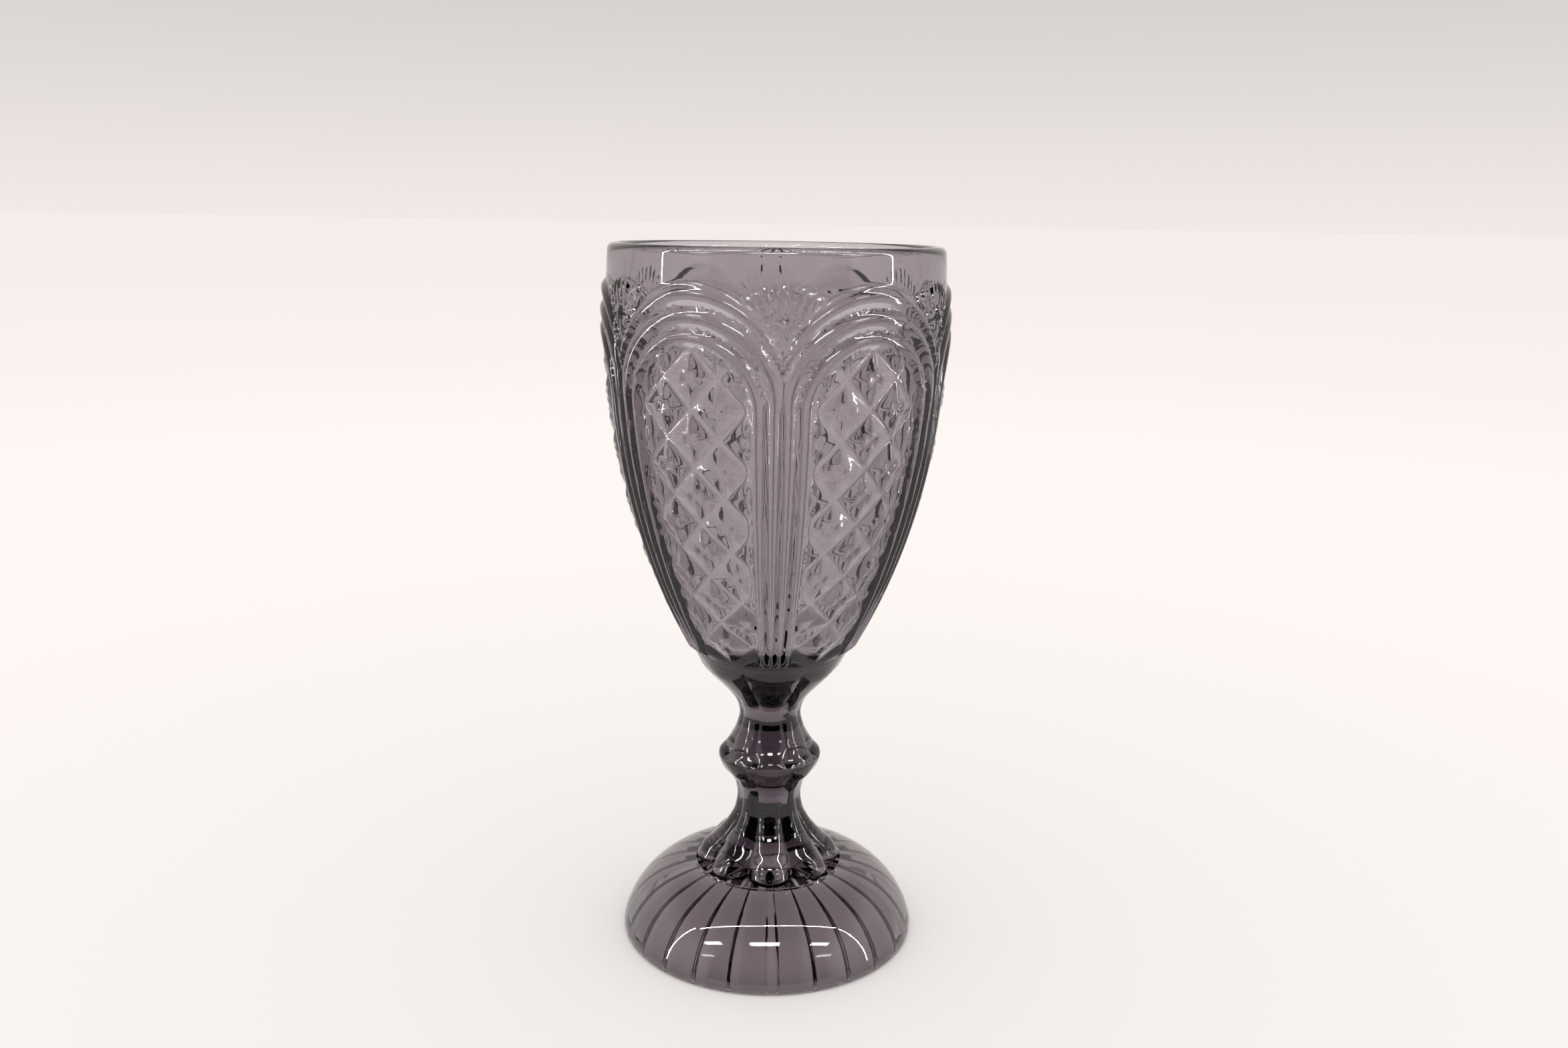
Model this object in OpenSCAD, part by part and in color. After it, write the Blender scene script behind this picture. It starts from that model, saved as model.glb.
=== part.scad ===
// Pressed glass water goblet: hollow domed foot, eight-lobed stem with a knop,
// and a bowl whose outside carries arches, fans and a diamond lattice.
// The goblet stands on z = 0 with its axis on Z. The front fan faces -Y.

/* [Overall] */
// Height of the goblet from table to lip
goblet_h = 170; // [150:1:200]

/* [Foot] */
// Diameter of the foot
foot_d = 72.8; // [64:0.2:84]
// Height of the flat disc on top of the foot, which the stem stands on
foot_h = 17.7; // [14:0.1:22]
// Diameter of that disc
foot_disc_d = 37.2; // [36.6:0.1:42]
// Height of the step around the disc
foot_disc_step = 0.5; // [0.2:0.1:1]
// Height at which the rounded edge of the foot is widest
foot_edge_h = 2; // [1.4:0.1:3]
// Rise of the dome's curve above the straight line from edge to disc
foot_bulge = 3.7; // [2:0.1:4.4]
// Radius of the rounding under the edge, inside which the foot rests on a flat ring
foot_edge_r = 1; // [0.4:0.1:1.4]
// Thickness of the dome
foot_wall = 4.2; // [3.4:0.1:5.2]
// Number of radial grooves under the dome
groove_count = 24; // [16:1:28]
// Depth of each groove
groove_depth = 1.2; // [0.4:0.1:2]
// Width of each groove at the flat ring
groove_w = 3.8; // [2:0.1:5]
// Slope of the hollow's cone, which rises through the disc into the stem
hollow_cone_a = 24; // [20:1:26]
// Diameter of the flat tip of that cone
hollow_tip_d = 4; // [2:0.1:6]

/* [Lower stem] */
// Height of the lower stem
lower_stem_h = 24.3; // [20:0.1:34]
// Height of the neck's narrowest place above the foot
lower_neck_h = 17.3; // [14:0.1:19]
// Diameter across the lobes at the narrowest place
lower_neck_d = 15.8; // [12:0.1:18]
// Diameter across the creases at the narrowest place
lower_neck_crease_d = 14.4; // [12:0.1:18]
// Diameter across the petals on the foot
petal_d = 35.9; // [30:0.1:36.4]
// Diameter across the notches between the petals
petal_notch_d = 28.4; // [24:0.1:30]
// Height of the petals' edge
petal_h = 1.4; // [0.6:0.1:2]

/* [Knop] */
// Height of the knop
knop_h = 8; // [6:0.1:12]
// Diameter of the knop
knop_d = 25.3; // [21:0.1:30]
// Height of the widest place above the knop's underside
knop_wide_h = 3.6; // [2.4:0.1:4.4]
// Diameter across the lobes where the lower stem joins the knop
knop_foot_d = 22.7; // [18:0.1:24]
// Diameter across the creases where the lower stem joins the knop
knop_foot_crease_d = 21; // [18:0.1:23]
// Diameter across the lobes where the knop joins the upper stem
knop_top_d = 19.7; // [17:0.1:22]
// Diameter across the creases where the knop joins the upper stem
knop_top_crease_d = 18.8; // [17:0.1:21]

/* [Upper stem] */
// Height of the upper stem
upper_stem_h = 10; // [8:0.1:16]
// Height of the neck's narrowest place above the knop
upper_neck_h = 7; // [5:0.1:7.6]
// Diameter across the lobes at the narrowest place
upper_neck_d = 15.1; // [12:0.1:17]
// Diameter across the creases at the narrowest place
upper_neck_crease_d = 14.4; // [12:0.1:17]
// Diameter across the lobes where the upper stem joins the calyx
stem_top_d = 17.2; // [15:0.1:19]
// Diameter across the creases where the upper stem joins the calyx
stem_top_crease_d = 16; // [14.6:0.1:18]

/* [Calyx] */
// Height of the calyx, the cup of solid glass that carries the bowl
calyx_h = 14; // [11:0.1:18]
// Height of the corner where the lobes end
calyx_corner_h = 8.5; // [6:0.1:9.5]
// Diameter at that corner, across the lobes
calyx_corner_d = 32.7; // [28:0.1:34]
// Diameter at that corner, across the creases
calyx_crease_d = 30.6; // [26:0.1:32]
// Diameter where the calyx joins the bowl
calyx_top_d = 38.2; // [36:0.1:41]

/* [Bowl] */
// Widest diameter of the bowl under its relief
bowl_d = 78.6; // [72:0.2:88]
// Height of the widest place above the table
bowl_wide_h = 150; // [142:1:158]
// Diameter of the rim
rim_d = 77.7; // [72:0.1:84]
// Thickness of the glass under the relief, at the lip
bowl_wall = 3.4; // [2.6:0.1:4.4]
// The same where the side runs on into the rounded bottom
bowl_low_wall = 4.2; // [3.4:0.1:5.4]
// Height of the plain band below the lip
rim_band_h = 7.2; // [4.4:0.1:10]
// Depth to which the hollow goes on below the bowl, into the calyx
hollow_drop = 3; // [1:0.1:4]
// Height of the hollow's rounded bottom
hollow_bottom_h = 10.5; // [8:0.1:12]

/* [Relief] */
// Number of arches around the bowl, with a fan between each two
arch_count = 6; // [5:1:7]
// Height to which the relief stands out from the bowl
relief_h = 1.3; // [0.6:0.1:1.6]
// Width of the field inside an arch
arch_field_w = 27; // [23:0.1:28]
// Width of the inner rib of an arch at its crown
inner_rib_w = 3.7; // [3:0.1:4.4]
// Width of the middle rib of an arch at its crown
middle_rib_w = 4.6; // [3.8:0.1:5.2]
// Width of the outer rib of an arch at its crown
outer_rib_w = 5; // [4:0.1:5.8]
// Width of the outer rib of an arch at the level of the arch's centre
outer_rib_side_w = 1.3; // [1:0.1:2.4]
// Height of each diamond of the lattice, measured along the glass
diamond_h = 13.2; // [11:0.1:15]
// Number of blades in each fan
fan_blades = 9; // [7:2:11]
// Height to which the fans stand out from the bowl
fan_h = 0.7; // [0.3:0.1:1.2]
// Length of the fan's blades
fan_l = 15.6; // [12:0.1:17]
// Angle between neighbouring blades of a fan
fan_blade_angle = 8.2; // [6:0.1:9]

/* [Hidden] */
$fn = 96;
overrun = 1;
glass = [0.47, 0.42, 0.46, 0.55];

// Heights of the joints between the pieces
knop_z = foot_h + lower_stem_h;
upper_stem_z = knop_z + knop_h;
calyx_z = upper_stem_z + upper_stem_h;
bowl_z = calyx_z + calyx_h;

// Lobes: eight around the stem, each drawn with this many steps
lobe_count = 8;
lobe_steps = 8;
lobe_cols = lobe_count * lobe_steps;

// Rows of a lobed piece: share of the height, of the change in lobe radius and
// of the change in crease radius between two named places
foot_flare_shares = [
    [0, 0, 0], [0.107, 0.11, 0.12], [0.214, 0.272, 0.293], [0.34, 0.483, 0.507],
    [0.465, 0.665, 0.687], [0.59, 0.808, 0.84], [0.686, 0.895, 0.918],
    [0.81, 0.966, 0.978], [1, 1, 1]];
knop_flare_shares = [
    [0.143, 0.03, 0.03], [0.43, 0.14, 0.2], [0.71, 0.46, 0.5], [0.857, 0.69, 0.72],
    [1, 1, 1]];
knop_under_shares = [[0, 0, 0], [0.28, 0.4, 0.45], [0.69, 0.84, 0.88], [1, 1, 1]];
knop_over_shares = [
    [0.18, 0.02, 0.23], [0.3, 0.107, 0.51], [0.43, 0.32, 0.69], [0.66, 0.66, 0.83],
    [1, 1, 1]];
neck_in_shares = [[0, 0, 0], [0.21, 0.38, 0.33], [0.43, 0.67, 0.56], [0.71, 0.92, 0.89],
    [1, 1, 1]];
neck_out_shares = [[0.5, 0.35, 0.1], [1, 1, 1]];
calyx_flare_shares = [
    [0, 0, 0], [0.176, 0.145, 0.11], [0.376, 0.348, 0.33], [0.59, 0.563, 0.585],
    [0.82, 0.816, 0.83], [1, 1, 1]];
calyx_band_shares = [[0.18, 0.236, 0.26], [0.38, 0.418, 0.53], [1, 1, 1]];

// Bowl: the side is one arc through the calyx top and the widest place
bowl_r = bowl_d / 2;
bowl_rise = bowl_wide_h - bowl_z;
bowl_swell = bowl_r - calyx_top_d / 2;
bowl_curve_r = (bowl_rise * bowl_rise + bowl_swell * bowl_swell) / (2 * bowl_swell);
band_z = goblet_h - rim_band_h;
lip_r = bowl_wall / 2;
lip_z = goblet_h - lip_r;

// Layout of the relief, seen as a flat chart of degrees by millimetres
sector_a = 360 / arch_count;
half_sector_a = sector_a / 2;
mm_per_degree = PI * bowl_r / 180;
field_r = arch_field_w / 2;
field_a = field_r / mm_per_degree;
leg_a = half_sector_a - field_a;
inner_rib_r = field_r + inner_rib_w;
middle_rib_r = inner_rib_r + middle_rib_w;
outer_rib_r = middle_rib_r + outer_rib_w;
outer_rib_side_r = middle_rib_r + outer_rib_side_w;
spring_z = band_z - outer_rib_r;
field_top_z = spring_z + field_r;
field_top_turn = asin((bowl_wide_h - field_top_z) / bowl_curve_r);
// A half diamond is as wide as it is high
lattice = diamond_h / 2;
fan_z = band_z - fan_l;
fan_spread = fan_blade_angle * fan_blades / 2;
relief_fade_h = lattice / 3;

// Radius of the bowl's plain outer surface at a height
function plain_r(z) =
    z < bowl_wide_h
        ? bowl_r - bowl_curve_r + sqrt(bowl_curve_r * bowl_curve_r - pow(bowl_wide_h - z, 2))
        : bowl_r + (rim_d / 2 - bowl_r) * pow((z - bowl_wide_h) / (lip_z - bowl_wide_h), 2);

// The hollow's rounded bottom begins here, and the side wall grows thicker down to it
side_z = bowl_z - hollow_drop + hollow_bottom_h;
function inner_r(z) =
    plain_r(z) - bowl_wall - (bowl_low_wall - bowl_wall) * (lip_z - z) / (lip_z - side_z);

// Radius of the rounded bottom at a height
function bottom_r(z) = inner_r(side_z) * sqrt(1 - pow((side_z - z) / hollow_bottom_h, 2));

// Length along the glass from the top of the lattice down to a height
function slope_l(z) =
    PI * bowl_curve_r / 180 * (asin((bowl_wide_h - z) / bowl_curve_r) - field_top_turn);

// Height at which that length is l
function slope_z(l) =
    bowl_wide_h - bowl_curve_r * sin(field_top_turn + l * 180 / (PI * bowl_curve_r));

// Angle from the middle of the nearest arch, where angle 0 is the middle of a fan
function from_arch(a) = abs((((a % sector_a) + sector_a) % sector_a) - half_sector_a);

// Which rib of the arch a place lies on: below 0 is the field, 0 to 3 are the ribs
function rib_place(d, z) =
    let (x = d * mm_per_degree, y = max(z - spring_z, 0), rho = sqrt(x * x + y * y),
         reach = half_sector_a * mm_per_degree,
         valley_y = sqrt(max(middle_rib_r * middle_rib_r - reach * reach, lattice)),
         middle_w = reach - inner_rib_r
             + (middle_rib_w - reach + inner_rib_r) * min(1, y / valley_y),
         middle_r = inner_rib_r + middle_w,
         turn = atan2(y, x),
         outer_r = 1 / sqrt(pow(cos(turn) / outer_rib_side_r, 2)
             + pow(sin(turn) / outer_rib_r, 2)))
    rho < inner_rib_r
        ? (rho - field_r) / inner_rib_w
        : (rho < middle_r
            ? 1 + (rho - inner_rib_r) / middle_w
            : 2 + (rho - middle_r) / (outer_r - middle_r));

// Height of a rib's round back, as a share, at a place across it
function rib_back(p) = let (f = p - floor(p)) 1 - pow(2 * f - 1, 2);

// The same for the blades of a fan, which are round-ended
function fan_back(d, z) =
    let (x = (half_sector_a - d) * mm_per_degree, y = z - fan_z,
         turn = atan2(x, max(y, 0)) / fan_blade_angle, rho = sqrt(x * x + max(y, 0) * y))
    (y <= 0 || turn > fan_blades / 2)
        ? 0
        : fan_h / relief_h * (1 - pow(2 * (turn - round(turn)), 2))
            * min(1, max(0, (fan_l - rho) / (fan_l / 5))) * min(1, rho / (fan_l / 3));

// The same for the pyramids of the lattice
function diamond_back(d, z) =
    let (u = d * PI / 180 * plain_r(z) / lattice, v = slope_l(z) / lattice,
         p = (u + v) / 2, q = (u - v) / 2)
    2 * min(abs(p - round(p)), abs(q - round(q)));

// Height of the relief at an angle and a height
function relief(a, z) =
    let (d = from_arch(a), p = rib_place(d, z),
         fade = min(1, max(0, (z - bowl_z) / relief_fade_h)))
    (z >= band_z || z <= bowl_z)
        ? 0
        : relief_h * fade
            * (p < 0 ? diamond_back(d, z) : (p < 3 ? rib_back(p) : fan_back(d, z)));

function skin_r(a, z) = plain_r(z) + relief(a, z);

// Columns of the skin over one sector, from the middle of one arch to the next.
// Below the fans they follow the lattice and the ribs of the legs.
leg_shares = [for (k = [0:12]) k / 6 - 1];
lattice_cap_shares = [0, 0.24, 0.48, 0.74];
function low_columns(z) =
    let (step = 90 * lattice / (PI * plain_r(z)),
         side = [for (k = [0:3]) min(k * step, lattice_cap_shares[k] * field_a)])
    concat(
        [for (k = [0:3]) side[k] - half_sector_a],
        [for (s = leg_shares) s * leg_a],
        [for (k = [3:-1:0]) half_sector_a - side[k]]);

// From the fans up they follow the blades and cross the crowns
crown_shares = [0.1, 0.21, 0.33, 0.46, 0.6, 0.74, 0.87, 1];
function high_columns(z) =
    let (rays = 2 * fan_blades,
         blades = [for (k = [-rays / 2:rays / 2])
             atan((z - fan_z) * tan(k * fan_spread * 2 / rays) / bowl_r)],
         last = blades[rays])
    concat(
        [for (k = [len(crown_shares) - 1:-1:0])
            -last - crown_shares[k] * (half_sector_a - last)],
        blades,
        [for (s = crown_shares) last + s * (half_sector_a - last)]);

// Rows of the skin: half a diamond apart on the lattice, closer over the crowns
first_row_share = 0.3;
lattice_rows = floor(slope_l(bowl_z) / (lattice / 2) - first_row_share);
crown_rows = 10;
low_z = concat(
    [bowl_z],
    [for (k = [lattice_rows:-1:1]) slope_z(k * lattice / 2)]);
high_z = [for (k = [0:crown_rows]) field_top_z + k * (band_z - field_top_z) / crown_rows];

// Point on a ring, with angle 0 at the front
function around(r, a, z) = [r * sin(a), -r * cos(a), z];

// Faces between two rings of n points that start at f and g
function band_faces(f, g, n) = [
    for (j = [0:n - 1])
        each [[f + j, g + j, g + (j + 1) % n], [f + j, g + (j + 1) % n, f + (j + 1) % n]]];

// Radius of a lobed piece: lobes at 0, 45 ... degrees and creases between them
function lobed_r(a, c, e) =
    let (w = 360 / lobe_count, off = abs(a / w - round(a / w)) * 2)
    c + (e - c) * off * off;

// Rows [height, lobe radius, crease radius] between two named places
function rows_between(z0, z1, c0, c1, e0, e1, shares) = [
    for (s = shares) [z0 + (z1 - z0) * s[0], c0 + (c1 - c0) * s[1], e0 + (e1 - e0) * s[2]]];

// Solid whose rings follow the rows
module lobed(rows) {
    n = lobe_cols;
    last = len(rows) - 1;
    points = [
        for (row = rows)
            for (j = [0:n - 1])
                let (a = j * 360 / n)
                around(lobed_r(a, row[1], row[2]), a, row[0])];
    faces = concat(
        [[for (j = [0:n - 1]) j]],
        [for (i = [0:last - 1]) each band_faces(i * n, (i + 1) * n, n)],
        [[for (j = [n - 1:-1:0]) last * n + j]]);
    polyhedron(points, faces);
}

// Dome of the foot: one arc from the edge up to the disc, with the given bulge
foot_r = foot_d / 2;
disc_r = foot_disc_d / 2;
dome_z = foot_h - foot_disc_step;
dome_dx = foot_r - disc_r;
dome_dz = dome_z - foot_edge_h;
dome_chord = sqrt(dome_dx * dome_dx + dome_dz * dome_dz);
dome_r = (dome_chord * dome_chord / 4 + foot_bulge * foot_bulge) / (2 * foot_bulge);
dome_x = (foot_r + disc_r) / 2 - (dome_r - foot_bulge) * dome_dz / dome_chord;
dome_cz = (dome_z + foot_edge_h) / 2 - (dome_r - foot_bulge) * dome_dx / dome_chord;
under_r = dome_r - foot_wall;
ring_inner_r = dome_x + sqrt(under_r * under_r - dome_cz * dome_cz);
groove_half_a = groove_w / 2 / ring_inner_r * 180 / PI;
// The arc under the dome runs on into the cone here
cone_r = dome_x + under_r * sin(hollow_cone_a);
cone_z = dome_cz + under_r * cos(hollow_cone_a);
tip_r = hollow_tip_d / 2;

// Radius of the cone at a height
function cone_r_at(z) = cone_r - (z - cone_z) / tan(hollow_cone_a);

module foot_profile() {
    intersection() {
        translate([dome_x, dome_cz])
        circle(r = dome_r);
        translate([0, foot_edge_h])
        square([foot_r, dome_dz]);
    }
    square([disc_r, foot_h]);
    square([foot_r - foot_edge_r, foot_edge_h]);
    translate([0, foot_edge_r])
    square([foot_r, foot_edge_h - foot_edge_r]);
    translate([foot_r - foot_edge_r, foot_edge_r])
    circle(r = foot_edge_r);
}

// Hollow under the dome, with the grooves standing out from it
groove_shares = [-1, -0.5, 0.5, 1];
// Rows of the cone: share of the way from the arc to the tip, and of the groove's depth
cone_shares = [[0.4, 0.5], [0.75, 0], [1, 0]];
module foot_hollow() {
    steps = 5;
    start_t = asin(-dome_cz / under_r);
    end_t = 90 - hollow_cone_a;
    columns = [
        for (k = [0:groove_count - 1])
            for (s = groove_shares)
                k * 360 / groove_count + s * groove_half_a];
    n = len(columns);
    // Rows [radius, height, turn in which a groove deepens, share of its depth]
    rows = concat(
        [for (k = [0:steps])
            let (t = start_t + (end_t - start_t) * k / steps)
            [dome_x + under_r * cos(t), dome_cz + under_r * sin(t), t,
                min(1, (steps + 1 - k) / (steps / 2))]],
        [for (c = cone_shares)
            let (r = cone_r + (tip_r - cone_r) * c[0])
            [r, cone_z + (cone_r - r) * tan(hollow_cone_a), end_t, c[1]]]);
    function deep(j, share) =
        groove_depth * share * (1 - pow(groove_shares[j % len(groove_shares)], 2));
    points = concat(
        [for (a = columns) around(ring_inner_r, a, -overrun)],
        [for (i = [0:len(rows) - 1])
            for (j = [0:n - 1])
                let (row = rows[i], d = deep(j, row[3]))
                around(row[0] + d * cos(row[2]), columns[j],
                    max(row[1] + d * sin(row[2]), i > 0 ? overrun : 0))]);
    faces = concat(
        [[for (j = [0:n - 1]) j]],
        [for (i = [0:len(rows) - 1]) each band_faces(i * n, (i + 1) * n, n)],
        [[for (j = [n - 1:-1:0]) len(rows) * n + j]]);
    polyhedron(points, faces);
}

module foot() {
    color(glass)
    difference() {
        rotate_extrude()
        foot_profile();
        foot_hollow();
    }
}

module lower_stem() {
    neck_z = foot_h + lower_neck_h;
    edge_z = foot_h + petal_h;
    low_z = foot_h - overrun;
    color(glass)
    difference() {
        lobed(concat(
            [[foot_h, petal_d / 2, petal_notch_d / 2]],
            rows_between(edge_z, neck_z, petal_d / 2, lower_neck_d / 2,
                petal_notch_d / 2, lower_neck_crease_d / 2, foot_flare_shares),
            rows_between(neck_z, knop_z, lower_neck_d / 2, knop_foot_d / 2,
                lower_neck_crease_d / 2, knop_foot_crease_d / 2, knop_flare_shares)));
        translate([0, 0, low_z])
        cylinder(r1 = cone_r_at(low_z), r2 = tip_r,
            h = (cone_r_at(low_z) - tip_r) * tan(hollow_cone_a));
    }
}

module knop() {
    wide_z = knop_z + knop_wide_h;
    color(glass)
    lobed(concat(
        rows_between(knop_z, wide_z, knop_foot_d / 2, knop_d / 2,
            knop_foot_crease_d / 2, knop_d / 2, knop_under_shares),
        rows_between(wide_z, upper_stem_z, knop_d / 2, knop_top_d / 2,
            knop_d / 2, knop_top_crease_d / 2, knop_over_shares)));
}

module upper_stem() {
    neck_z = upper_stem_z + upper_neck_h;
    color(glass)
    lobed(concat(
        rows_between(upper_stem_z, neck_z, knop_top_d / 2, upper_neck_d / 2,
            knop_top_crease_d / 2, upper_neck_crease_d / 2, neck_in_shares),
        rows_between(neck_z, calyx_z, upper_neck_d / 2, stem_top_d / 2,
            upper_neck_crease_d / 2, stem_top_crease_d / 2, neck_out_shares)));
}

// Heights in the calyx's share of the hollow, which ends in a small flat
drop_shares = [0.04, 0.15, 0.35, 0.62, 1];
module calyx() {
    corner_z = calyx_z + calyx_corner_h;
    color(glass)
    difference() {
        lobed(concat(
            rows_between(calyx_z, corner_z, stem_top_d / 2, calyx_corner_d / 2,
                stem_top_crease_d / 2, calyx_crease_d / 2, calyx_flare_shares),
            rows_between(corner_z, bowl_z, calyx_corner_d / 2, calyx_top_d / 2,
                calyx_crease_d / 2, calyx_top_d / 2, calyx_band_shares)));
        lobed(concat(
            [for (s = drop_shares)
                let (z = bowl_z - hollow_drop * (1 - s))
                [z, bottom_r(z), bottom_r(z)]],
            [[bowl_z + overrun, bottom_r(bowl_z), bottom_r(bowl_z)]]));
    }
}

// Faces between two rows of one sector that have columns of their own: a is the
// lower row and b the upper, each a list of angles, and both begin and end together
function zipped_faces(a, b, f, g) =
    let (p = len(a), q = len(b),
         nearest = [for (k = [0:q - 2])
             let (mid = (b[k] + b[k + 1]) / 2)
             len([for (j = [0:p - 2]) if ((a[j] + a[j + 1]) / 2 < mid) j])],
         stops = concat([0], nearest, [p - 1]))
    concat(
        [for (k = [0:q - 2]) [f[nearest[k]], g[k], g[k + 1]]],
        [for (k = [0:q - 1])
            for (j = [stops[k]:1:stops[k + 1] - 1])
                [f[j], g[k], f[j + 1]]]);

module bowl() {
    lip_steps = 6;
    wall_steps = 8;
    bottom_steps = 4;
    lip_n = 10;
    // From the plain band over the lip, down the wall and round to the joint
    inner = concat(
        [for (k = [0:lip_steps])
            let (t = 180 * k / lip_steps)
            [rim_d / 2 - lip_r * (1 - cos(t)), lip_z + lip_r * sin(t)]],
        [for (k = [1:wall_steps])
            let (z = lip_z + (side_z - lip_z) * k / wall_steps)
            [inner_r(z), z]],
        [for (k = [1:bottom_steps])
            let (z = side_z + (bowl_z - side_z) * k / bottom_steps)
            [bottom_r(z), z]]);
    lip_columns = [for (j = [0:lip_n]) (2 * j / lip_n - 1) * half_sector_a];
    // Every row as [angles of one sector, radius or 0 where the skin gives it, height]
    rows = concat(
        [for (z = low_z) [low_columns(z), 0, z]],
        [for (z = high_z) [high_columns(z), 0, z]],
        [for (p = inner) [lip_columns, p[0], p[1]]]);
    starts = [for (i = 0, at = 0; i <= len(rows);
        at = at + (i < len(rows) ? arch_count * (len(rows[i][0]) - 1) : 0), i = i + 1) at];
    points = [
        for (row = rows)
            for (k = [0:arch_count - 1])
                for (j = [0:len(row[0]) - 2])
                    let (a = row[0][j] + k * sector_a)
                    around(row[1] > 0 ? row[1] : skin_r(a, row[2]), a, row[2])];
    // Numbers of the points of row i over sector k, its two ends included
    function numbers(i, k) =
        let (n = len(rows[i][0]) - 1)
        [for (j = [0:n]) starts[i] + (k * n + j) % (arch_count * n)];
    // Faces between rows with the same columns, each cell cut by the diagonal that
    // lies nearer to the surface
    function cell_faces(i, k) =
        let (f = numbers(i, k), g = numbers(i + 1, k), a = rows[i][0], b = rows[i + 1][0],
             z0 = rows[i][2], z1 = rows[i + 1][2])
        [for (j = [0:len(a) - 2])
            let (mid = skin_r((a[j] + a[j + 1] + b[j] + b[j + 1]) / 4, (z0 + z1) / 2),
                 up = abs((skin_r(a[j], z0) + skin_r(b[j + 1], z1)) / 2 - mid),
                 down = abs((skin_r(a[j + 1], z0) + skin_r(b[j], z1)) / 2 - mid))
            each up <= down
                ? [[f[j], g[j], g[j + 1]], [f[j], g[j + 1], f[j + 1]]]
                : [[f[j], g[j], f[j + 1]], [g[j], g[j + 1], f[j + 1]]]];
    low_rows = len(low_z);
    skin_rows = low_rows + len(high_z);
    last = len(rows) - 1;
    // The last row is joined to the first by the flat ring that stands on the calyx
    faces = [
        for (k = [0:arch_count - 1])
            for (i = [0:last])
                let (next = (i + 1) % len(rows))
                each (i == low_rows - 1 || i == skin_rows - 1 || i == last)
                    ? zipped_faces(rows[i][0], rows[next][0], numbers(i, k), numbers(next, k))
                    : cell_faces(i, k)];
    color(glass)
    polyhedron(points, faces);
}

foot();
lower_stem();
knop();
upper_stem();
calyx();
bowl();
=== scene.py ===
import bpy
import math
from mathutils import Matrix, Vector


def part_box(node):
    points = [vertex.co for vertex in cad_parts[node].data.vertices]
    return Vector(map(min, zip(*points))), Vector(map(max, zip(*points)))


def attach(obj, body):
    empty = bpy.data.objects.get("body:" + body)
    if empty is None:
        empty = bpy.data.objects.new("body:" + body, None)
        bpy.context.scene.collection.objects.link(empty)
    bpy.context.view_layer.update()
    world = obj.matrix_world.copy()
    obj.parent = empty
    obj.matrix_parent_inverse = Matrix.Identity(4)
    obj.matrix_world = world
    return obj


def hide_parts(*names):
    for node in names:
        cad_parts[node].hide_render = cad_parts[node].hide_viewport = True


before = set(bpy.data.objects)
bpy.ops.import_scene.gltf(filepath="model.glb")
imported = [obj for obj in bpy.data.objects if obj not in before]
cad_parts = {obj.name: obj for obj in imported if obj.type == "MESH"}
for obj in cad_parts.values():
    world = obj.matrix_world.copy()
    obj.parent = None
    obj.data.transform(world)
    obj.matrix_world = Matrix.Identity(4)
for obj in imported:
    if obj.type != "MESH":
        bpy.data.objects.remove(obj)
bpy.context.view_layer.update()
mm = 0.001
mergeWithin = 0.0005 * mm
tolerance = 0.01  # mm, within which a vertex counts as lying on a surface
print("frame loaded:", ", ".join(sorted(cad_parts)))


def deselectAll():
    if bpy.context.mode != "OBJECT":
        bpy.ops.object.mode_set(mode="OBJECT")
    bpy.ops.object.select_all(action="DESELECT")


# profile goes from point to point as (radius, height) in mm
def spinProfile(name, profile, steps):
    deselectAll()
    r, z = profile[0]
    bpy.ops.mesh.primitive_plane_add(size=mm, location=(0, -r * mm, z * mm))
    piece = bpy.context.object
    piece.name = piece.data.name = name
    bpy.ops.object.transform_apply(location=True, rotation=False, scale=False)
    bpy.ops.object.mode_set(mode="EDIT")
    bpy.ops.mesh.select_all(action="SELECT")
    bpy.ops.mesh.merge(type="CENTER")
    for (r0, z0), (r1, z1) in zip(profile, profile[1:]):
        bpy.ops.mesh.extrude_region_move(
            TRANSFORM_OT_translate={"value": (0, (r0 - r1) * mm, (z1 - z0) * mm)})
    bpy.ops.object.mode_set(mode="OBJECT")
    bpy.ops.object.modifier_add(type="SCREW")
    turn = piece.modifiers[-1]
    turn.steps = turn.render_steps = steps
    turn.use_merge_vertices = True
    turn.merge_threshold = mergeWithin
    bpy.ops.object.modifier_apply(modifier=turn.name)
    bpy.ops.object.mode_set(mode="EDIT")
    bpy.ops.mesh.select_all(action="SELECT")
    bpy.ops.mesh.remove_doubles(threshold=mergeWithin)
    bpy.ops.mesh.normals_make_consistent(inside=False)
    bpy.ops.object.mode_set(mode="OBJECT")
    return piece


def smoothFaces(piece, sharpAngle=40):
    deselectAll()
    piece.select_set(True)
    bpy.context.view_layer.objects.active = piece
    bpy.ops.object.shade_smooth_by_angle(angle=math.radians(sharpAngle))


# degrees round the axis, 0 at the front, growing towards +X
def azimuth(co):
    return math.degrees(math.atan2(co.x, -co.y))


# newRadius(radius, azimuth, height) in mm and degrees gives each vertex its radius
def moveRadially(piece, newRadius):
    for v in piece.data.vertices:
        r = math.hypot(v.co.x, v.co.y) / mm
        if r > tolerance:
            share = newRadius(r, azimuth(v.co), v.co.z / mm) / r
            v.co.x *= share
            v.co.y *= share
    piece.data.update()


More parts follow.
